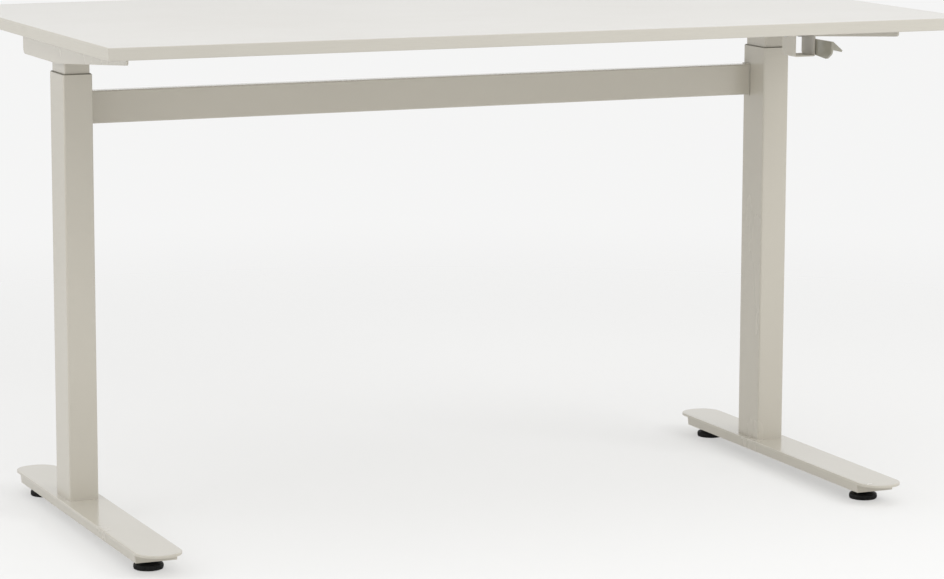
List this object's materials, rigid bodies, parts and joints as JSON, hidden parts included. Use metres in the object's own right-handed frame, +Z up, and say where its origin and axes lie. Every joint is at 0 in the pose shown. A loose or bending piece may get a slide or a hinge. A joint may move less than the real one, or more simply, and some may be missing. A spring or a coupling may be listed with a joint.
{
  "type": "height adjustable standing desk",
  "caption": "Sit-stand desk with a rectangular laminate top, telescopic rectangular legs on round-ended feet, a crossbar and a squeeze lever that releases gas springs.",
  "frame": {"origin": "on the floor under the middle of the desktop", "axes": "+X along the desktop to the seated user's right, +Y away from the user, +Z up"},
  "size_m": [1.4, 0.8, 0.784],
  "materials": {
    "desktop_laminate": "fine satin melamine laminate on particle board",
    "edge_band": "satin plastic edging",
    "frame_paint": "semi-gloss fine powder coat, warm greige",
    "lever_paint": "semi-gloss fine powder coat, darker warm grey",
    "zinc_steel": "zinc plated",
    "spring_steel": "bright wire",
    "chromed_rod": "hard chrome, ground",
    "black_cylinder": "black paint",
    "bush_brass": "turned",
    "guide_plastic": "moulded",
    "glide_plastic": "moulded, slightly glossy"
  },
  "bodies": {
    "base": {"crossbar": "frame_paint", "column_bolts": "zinc_steel", "glide_nuts": "zinc_steel", "foot_plate_left": "frame_paint", "foot_plate_right": "frame_paint", "foot_beam_left": "frame_paint", "foot_beam_right": "frame_paint", "outer_column_left": "frame_paint", "outer_column_right": "frame_paint", "column_base_left": "zinc_steel", "column_base_right": "zinc_steel", "guide_collar_left": "guide_plastic", "guide_collar_right": "guide_plastic", "shaft_bush_left": "bush_brass", "shaft_bush_right": "bush_brass", "gas_cylinder_left": "black_cylinder", "gas_cylinder_right": "black_cylinder", "rod_guide_left": "guide_plastic", "rod_guide_right": "guide_plastic"},
    "lift": {"desktop_panel": "desktop_laminate", "edge_band": "edge_band", "desktop_screws": "zinc_steel", "head_screws": "zinc_steel", "lever_housing": "frame_paint", "lever_pin": "zinc_steel", "lever_spring": "spring_steel", "crank_pin": "zinc_steel", "inner_column_left": "frame_paint", "inner_column_right": "frame_paint", "column_head_left": "zinc_steel", "column_head_right": "zinc_steel", "glide_shoe_left": "guide_plastic", "glide_shoe_right": "guide_plastic", "sync_rack_left": "zinc_steel", "sync_rack_right": "zinc_steel", "gas_rod_left": "chromed_rod", "gas_rod_right": "chromed_rod", "gas_piston_left": "guide_plastic", "gas_piston_right": "guide_plastic", "rod_yoke_left": "zinc_steel", "rod_yoke_right": "zinc_steel", "top_bracket_left": "frame_paint", "top_bracket_right": "frame_paint"},
    "sync_drive": {"sync_shaft": "zinc_steel", "sync_pinion_left": "zinc_steel", "sync_pinion_right": "zinc_steel"},
    "lever": {"lever_arm": "lever_paint", "lever_grip": "lever_paint"},
    "crank": {"release_crank": "zinc_steel"},
    "valve": {"valve_pin": "zinc_steel"},
    "glide_front_left": {"glide_pad_front_left": "glide_plastic", "glide_stud_front_left": "zinc_steel"},
    "glide_front_right": {"glide_pad_front_right": "glide_plastic", "glide_stud_front_right": "zinc_steel"},
    "glide_rear_left": {"glide_pad_rear_left": "glide_plastic", "glide_stud_rear_left": "zinc_steel"},
    "glide_rear_right": {"glide_pad_rear_right": "glide_plastic", "glide_stud_rear_right": "zinc_steel"}
  },
  "joints": [
    {"name": "desk_lift", "type": "slide", "parent": "base", "child": "lift", "axis": [0, 0, 1], "range_m": [0, 0.4]},
    {"name": "sync_turn", "type": "hinge", "parent": "base", "child": "sync_drive", "pos_m": [0, 0.11425, 0.6445], "axis": [-1, 0, 0], "range_deg": [0, 3275]},
    {"name": "lever_squeeze", "type": "hinge", "parent": "lift", "child": "lever", "pos_m": [0.469, -0.292, 0.7575], "axis": [-1, 0, 0], "range_deg": [0, 9], "stiffness_Nm_per_rad": 0.4, "springref_deg": -20.05},
    {"name": "crank_turn", "type": "hinge", "parent": "lift", "child": "crank", "pos_m": [0.605, 0.091, 0.746], "axis": [1, 0, 0], "range_deg": [0, 10]},
    {"name": "valve_press", "type": "slide", "parent": "lift", "child": "valve", "axis": [0, 0, -1], "range_m": [0, 0.0026]},
    {"name": "level_front_left", "type": "slide", "parent": "base", "child": "glide_front_left", "axis": [0, 0, -1], "range_m": [0, 0.006]},
    {"name": "level_front_right", "type": "slide", "parent": "base", "child": "glide_front_right", "axis": [0, 0, -1], "range_m": [0, 0.006]},
    {"name": "level_rear_left", "type": "slide", "parent": "base", "child": "glide_rear_left", "axis": [0, 0, -1], "range_m": [0, 0.006]},
    {"name": "level_rear_right", "type": "slide", "parent": "base", "child": "glide_rear_right", "axis": [0, 0, -1], "range_m": [0, 0.006]}
  ],
  "couplings": [
    {"joint": "sync_turn", "follows": "desk_lift", "rad_per_m": 142.86},
    {"joint": "crank_turn", "follows": "lever_squeeze", "ratio": 1.1},
    {"joint": "valve_press", "follows": "lever_squeeze", "m_per_rad": 0.0158}
  ]
}
